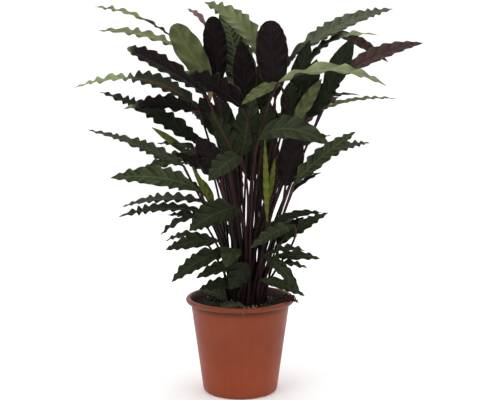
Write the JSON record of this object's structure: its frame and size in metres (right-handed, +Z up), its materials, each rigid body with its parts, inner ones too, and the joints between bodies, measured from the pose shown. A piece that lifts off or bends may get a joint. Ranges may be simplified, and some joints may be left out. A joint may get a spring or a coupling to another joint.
{
  "type": "potted velvet calathea",
  "caption": "Velvet calathea in a brown plastic nursery pot: wavy lance-shaped leaves, green above and purple below, on purple stalks fanning out of dark soil.",
  "frame": {"origin": "centre of the pot's flat underside, on the surface it stands on", "axes": "+Z up along the pot's axis, -Y towards the side the picture shows, +X to the right there"},
  "size_m": [0.6358, 0.409, 0.7459],
  "materials": {
    "leaf": "satin",
    "dry_leaf": "matte",
    "pot": "satin",
    "soil": "matte"
  },
  "bodies": {
    "root": {"shoot_left_high_6": "leaf", "shoot_centre_5": "leaf", "shoot_top_1": "leaf", "shoot_top_2": "leaf", "shoot_top_3": "leaf", "shoot_top_4": "leaf", "shoot_top_5": "leaf", "shoot_left_high_1": "leaf", "shoot_left_high_2": "leaf", "shoot_left_high_3": "leaf", "shoot_left_high_4": "leaf", "shoot_left_high_5": "leaf", "shoot_left_mid_1": "leaf", "shoot_left_mid_2": "leaf", "shoot_left_mid_3": "leaf", "shoot_left_mid_4": "leaf", "shoot_left_mid_5": "leaf", "shoot_left_mid_6": "leaf", "shoot_left_mid_7": "leaf", "shoot_left_mid_8": "leaf", "shoot_left_mid_9": "leaf", "shoot_left_low_1": "leaf", "shoot_left_low_2": "leaf", "shoot_left_low_3": "leaf", "shoot_left_low_4": "leaf", "shoot_left_low_5": "leaf", "shoot_left_low_6": "leaf", "shoot_right_high_1": "leaf", "shoot_right_high_2": "leaf", "shoot_right_high_3": "leaf", "shoot_right_high_4": "leaf", "shoot_right_high_5": "leaf", "shoot_right_high_6": "leaf", "shoot_right_high_7": "leaf", "shoot_right_high_8": "leaf", "shoot_right_high_9": "leaf", "shoot_right_mid_1": "leaf", "shoot_right_mid_2": "leaf", "shoot_right_mid_3": "leaf", "shoot_right_mid_4": "leaf", "shoot_right_mid_5": "leaf", "shoot_right_mid_6": "leaf", "shoot_centre_1": "leaf", "shoot_centre_2": "leaf", "shoot_centre_4": "leaf", "shoot_right_low_1": "leaf", "shoot_right_low_2": "leaf", "shoot_right_low_3": "leaf", "shoot_right_low_4": "leaf", "shoot_right_low_5": "leaf", "shoot_right_low_6": "leaf", "shoot_back_1": "leaf", "shoot_back_2": "leaf", "shoot_back_3": "leaf", "shoot_back_4": "leaf", "shoot_back_5": "leaf", "old_leaf": "leaf", "dry_leaf": "dry_leaf", "pot": "pot", "soil": "soil"}
  },
  "joints": []
}
